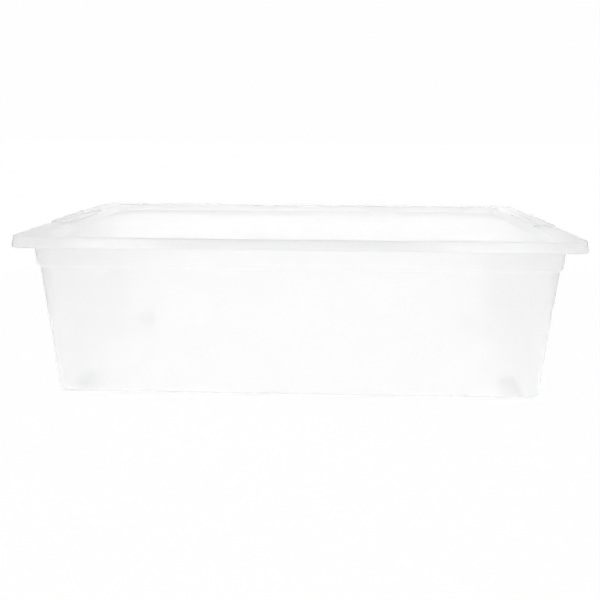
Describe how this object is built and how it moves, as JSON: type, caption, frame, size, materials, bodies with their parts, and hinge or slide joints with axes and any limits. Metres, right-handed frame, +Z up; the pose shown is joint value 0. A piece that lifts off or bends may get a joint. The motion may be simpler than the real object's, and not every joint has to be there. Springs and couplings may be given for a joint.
{
  "type": "under bed box",
  "caption": "Low, long storage tub of clear plastic with a closed lid, clip handles on both short ends and small wheels let into the floor.",
  "frame": {"origin": "on the ground, under the centre of the box's footprint", "axes": "+X along the long side, +Y from front to back along the short side, +Z up"},
  "size_m": [0.593, 0.397, 0.1771],
  "materials": {
    "tub_plastic": "clear natural polypropylene, slightly frosted, moulded satin gloss",
    "lid_plastic": "clear natural polypropylene, slightly frosted, moulded satin gloss",
    "latch_plastic": "natural polypropylene, thicker and cloudier than the tub",
    "wheel_plastic": "natural white moulded plastic, matte tread",
    "axle_plastic": "undyed white moulded plastic pin"
  },
  "bodies": {
    "tub": {"tub": "tub_plastic", "axle_front_left": "axle_plastic", "axle_front_right": "axle_plastic", "axle_back_left": "axle_plastic", "axle_back_right": "axle_plastic"},
    "lid": {"lid": "lid_plastic"},
    "latch_left": {"latch_left": "latch_plastic"},
    "latch_right": {"latch_right": "latch_plastic"},
    "wheel_front_left": {"wheel_front_left": "wheel_plastic"},
    "wheel_front_right": {"wheel_front_right": "wheel_plastic"},
    "wheel_back_left": {"wheel_back_left": "wheel_plastic"},
    "wheel_back_right": {"wheel_back_right": "wheel_plastic"}
  },
  "joints": [
    {"name": "lid_lift", "type": "slide", "parent": "tub", "child": "lid", "axis": [0, 0, 1], "range_m": [0, 0.12]},
    {"name": "latch_left_hinge", "type": "hinge", "parent": "lid", "child": "latch_left", "pos_m": [-0.2726, 0, 0.1748], "axis": [0, 1, 0], "range_deg": [0, 110]},
    {"name": "latch_right_hinge", "type": "hinge", "parent": "lid", "child": "latch_right", "pos_m": [0.2726, 0, 0.1748], "axis": [0, -1, 0], "range_deg": [0, 110]},
    {"name": "wheel_front_left_spin", "type": "hinge", "parent": "tub", "child": "wheel_front_left", "pos_m": [-0.2325, -0.1505, 0.0085], "axis": [0, 1, 0], "continuous": true},
    {"name": "wheel_front_right_spin", "type": "hinge", "parent": "tub", "child": "wheel_front_right", "pos_m": [0.2325, -0.1505, 0.0085], "axis": [0, 1, 0], "continuous": true},
    {"name": "wheel_back_left_spin", "type": "hinge", "parent": "tub", "child": "wheel_back_left", "pos_m": [-0.2325, 0.1505, 0.0085], "axis": [0, 1, 0], "continuous": true},
    {"name": "wheel_back_right_spin", "type": "hinge", "parent": "tub", "child": "wheel_back_right", "pos_m": [0.2325, 0.1505, 0.0085], "axis": [0, 1, 0], "continuous": true}
  ]
}
